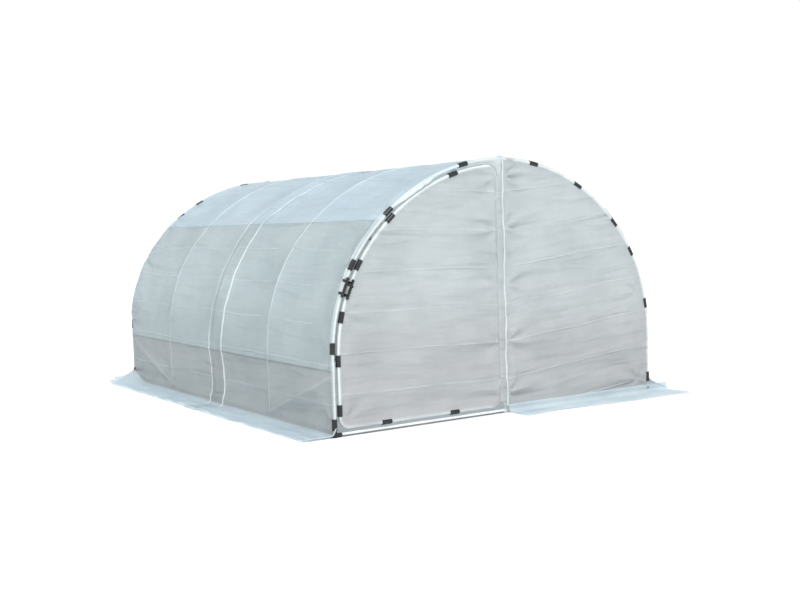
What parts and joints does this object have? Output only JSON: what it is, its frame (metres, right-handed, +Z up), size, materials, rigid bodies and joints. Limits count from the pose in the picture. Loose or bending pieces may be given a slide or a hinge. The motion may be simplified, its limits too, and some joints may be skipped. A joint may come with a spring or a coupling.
{
  "type": "polytunnel greenhouse",
  "caption": "Walk-in polytunnel greenhouse with a white tube frame, milky film cover, ground skirts and a hinged film door in one half of the front.",
  "frame": {"origin": "middle of the plan at floor level", "axes": "+Z up, the door end faces -Y, the ridge runs along Y, +X is the fixed half of the front seen from outside"},
  "size_m": [3.455, 4.335, 1.9515],
  "materials": {
    "frame_steel": "satin",
    "fitting_plastic": "matte",
    "corner_plastic": "matte",
    "clip_plastic": "satin",
    "latch_plastic": "satin",
    "roof_film": "satin",
    "side_film": "satin",
    "end_film": "satin",
    "skirt_film": "satin"
  },
  "bodies": {
    "root": {"base_rail_left": "frame_steel", "base_rail_right": "frame_steel", "base_rail_rear": "frame_steel", "threshold_rail": "frame_steel", "arch_front": "frame_steel", "arch_second": "frame_steel", "arch_middle": "frame_steel", "arch_fourth": "frame_steel", "arch_rear": "frame_steel", "ridge_purlin": "frame_steel", "upper_purlin_left": "frame_steel", "upper_purlin_right": "frame_steel", "lower_purlin_left": "frame_steel", "lower_purlin_right": "frame_steel", "front_post": "frame_steel", "rear_post": "frame_steel", "braces_left": "frame_steel", "braces_right": "frame_steel", "corner_fittings": "corner_plastic", "tee_fittings": "fitting_plastic", "ridge_fittings": "fitting_plastic", "purlin_sleeves_upper": "fitting_plastic", "purlin_sleeves_lower": "fitting_plastic", "purlin_sleeves_ridge": "fitting_plastic", "cover_wall_left": "side_film", "cover_wall_right": "side_film", "cover_side_left": "side_film", "cover_side_right": "side_film", "cover_roof_left": "roof_film", "cover_roof_right": "roof_film", "front_film": "end_film", "rear_film": "end_film", "skirt_left": "skirt_film", "skirt_right": "skirt_film", "skirt_front": "skirt_film", "skirt_rear": "skirt_film", "arch_clips_front": "clip_plastic", "arch_clips_rear": "clip_plastic", "latch_keeper": "latch_plastic"},
    "door": {"door_hoop": "frame_steel", "door_stile": "frame_steel", "door_film": "end_film", "door_hinges": "fitting_plastic", "door_clips": "clip_plastic", "door_latch": "latch_plastic"}
  },
  "joints": [
    {"name": "door_hinge", "type": "hinge", "parent": "root", "child": "door", "pos_m": [0, -1.95, 0.97], "axis": [0, 0, 1], "range_deg": [0, 105]}
  ]
}
